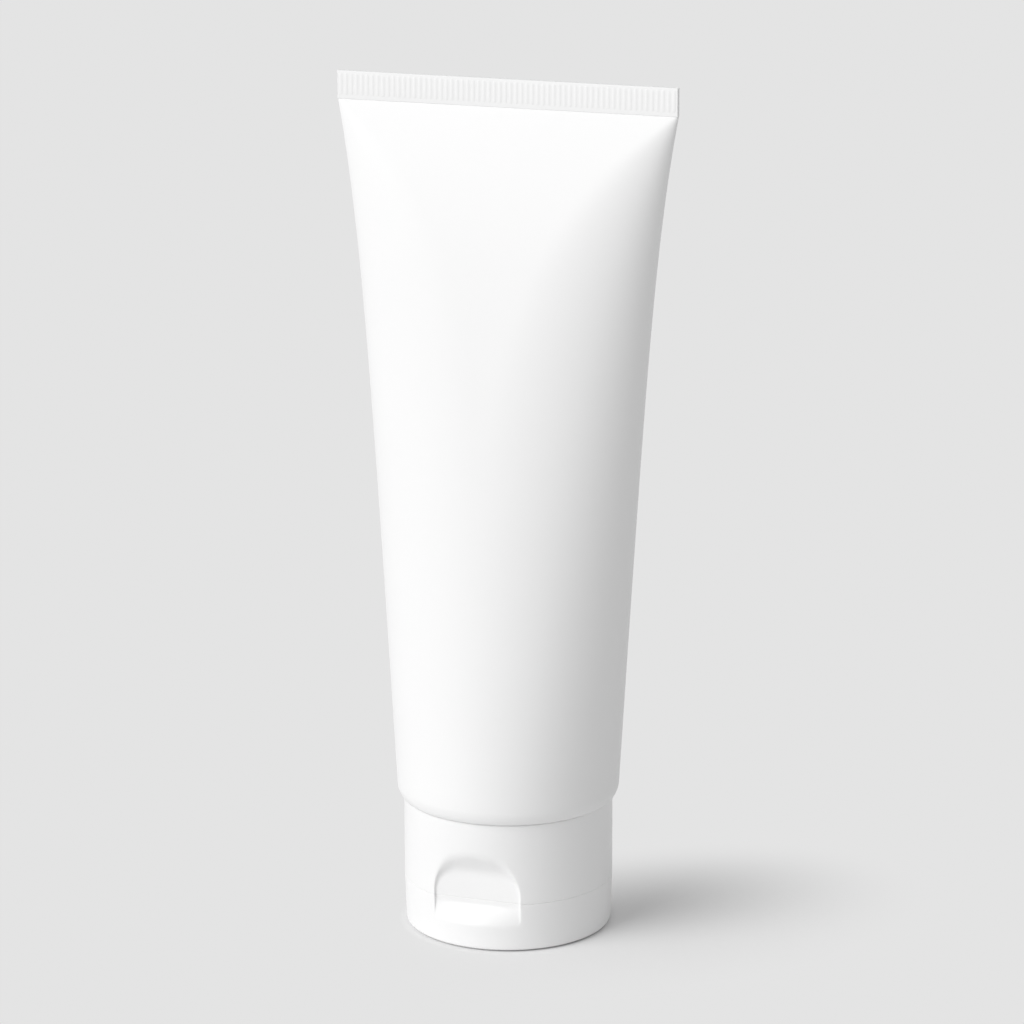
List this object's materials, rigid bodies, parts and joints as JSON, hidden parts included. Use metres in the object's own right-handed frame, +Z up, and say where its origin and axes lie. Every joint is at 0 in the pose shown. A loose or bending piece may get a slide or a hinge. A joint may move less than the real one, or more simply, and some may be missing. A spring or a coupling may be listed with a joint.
{
  "type": "face scrub tube",
  "caption": "Squeeze tube with a flat crimped end, standing on its round flip-top cap with a thumb notch and a film hinge.",
  "frame": {"origin": "centre of the lid's flat face, on the surface the tube stands on", "axes": "+Z up towards the crimp, X along the crimp, the thumb notch faces -Y and the film hinge +Y"},
  "size_m": [0.063, 0.0404, 0.1552],
  "materials": {
    "tube_plastic": "satin",
    "cap_plastic": "satin",
    "scrub": "matte"
  },
  "bodies": {
    "tube": {"sleeve": "tube_plastic", "shoulder": "tube_plastic", "cap_base": "cap_plastic", "scrub_fill": "scrub"},
    "lid": {"lid": "cap_plastic"}
  },
  "joints": [
    {"name": "lid_flip", "type": "hinge", "parent": "tube", "child": "lid", "pos_m": [0, 0.01912, 0.0091], "axis": [1, 0, 0], "range_deg": [0, 180]}
  ]
}
